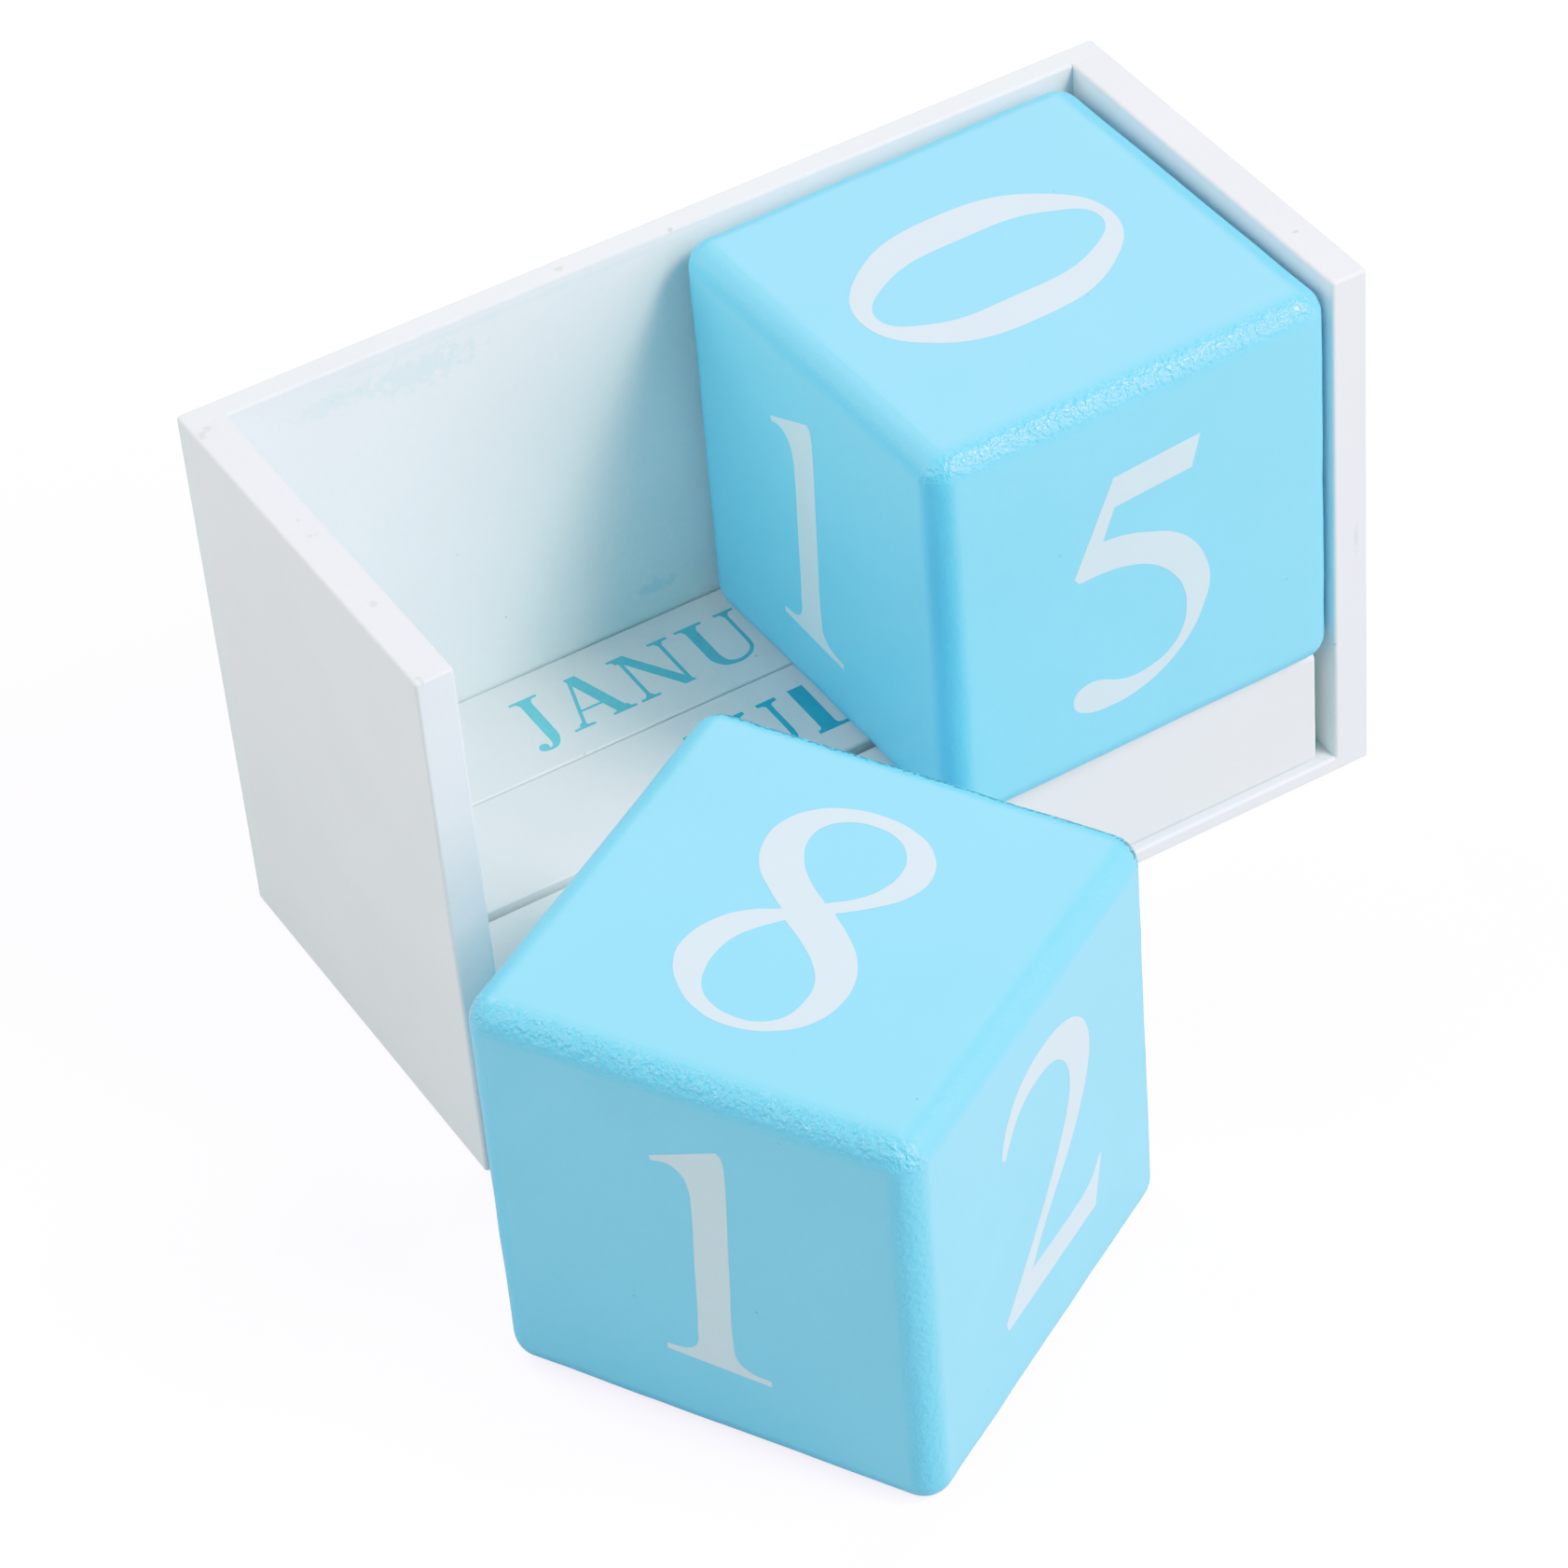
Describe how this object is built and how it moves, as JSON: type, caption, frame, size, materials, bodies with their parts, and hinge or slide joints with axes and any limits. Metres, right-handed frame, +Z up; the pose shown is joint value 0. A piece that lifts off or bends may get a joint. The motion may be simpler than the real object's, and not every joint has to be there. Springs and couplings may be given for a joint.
{
  "type": "perpetual block calendar",
  "caption": "Open-fronted painted tray that holds loose date cubes above square month bars, one cube standing beside it.",
  "frame": {"origin": "middle of the tray's underside, on the surface that the calendar stands on", "axes": "+X to the right along the tray's width, +Y to the tray's back, +Z up"},
  "size_m": [0.1235, 0.1185, 0.068],
  "materials": {
    "tray_paint": "satin white paint over fibreboard",
    "bar_paint": "satin white paint over wood, printed lettering",
    "cube_paint": "satin sky-blue paint over wood, printed numerals",
    "brad_steel": "plain wire, heads painted over"
  },
  "bodies": {
    "tray": {"base_panel": "tray_paint", "back_panel": "tray_paint", "left_side": "tray_paint", "right_side": "tray_paint", "base_brads": "brad_steel", "back_brads": "brad_steel"},
    "cube_in_tray": {"date_cube_tray": "cube_paint"},
    "cube_on_table": {"date_cube_table": "cube_paint"},
    "bar_rear": {"month_bar_rear": "bar_paint"},
    "bar_middle": {"month_bar_middle": "bar_paint"},
    "bar_front": {"month_bar_front": "bar_paint"}
  },
  "joints": [
    {"name": "tray_cube_lift", "type": "slide", "parent": "tray", "child": "cube_in_tray", "axis": [0, 0, 1], "range_m": [0, 0.125]},
    {"name": "table_cube_lift", "type": "slide", "parent": "tray", "child": "cube_on_table", "axis": [0, 0, 1], "range_m": [0, 0.07]},
    {"name": "rear_bar_lift", "type": "slide", "parent": "tray", "child": "bar_rear", "axis": [0, 0, 1], "range_m": [0, 0.09]},
    {"name": "middle_bar_lift", "type": "slide", "parent": "tray", "child": "bar_middle", "axis": [0, 0, 1], "range_m": [0, 0.08]},
    {"name": "front_bar_lift", "type": "slide", "parent": "tray", "child": "bar_front", "axis": [0, 0, 1], "range_m": [0, 0.07]}
  ],
  "couplings": [
    {"joint": "rear_bar_lift", "follows": "tray_cube_lift", "ratio": 0.72},
    {"joint": "middle_bar_lift", "follows": "tray_cube_lift", "ratio": 0.64},
    {"joint": "front_bar_lift", "follows": "tray_cube_lift", "ratio": 0.56}
  ]
}
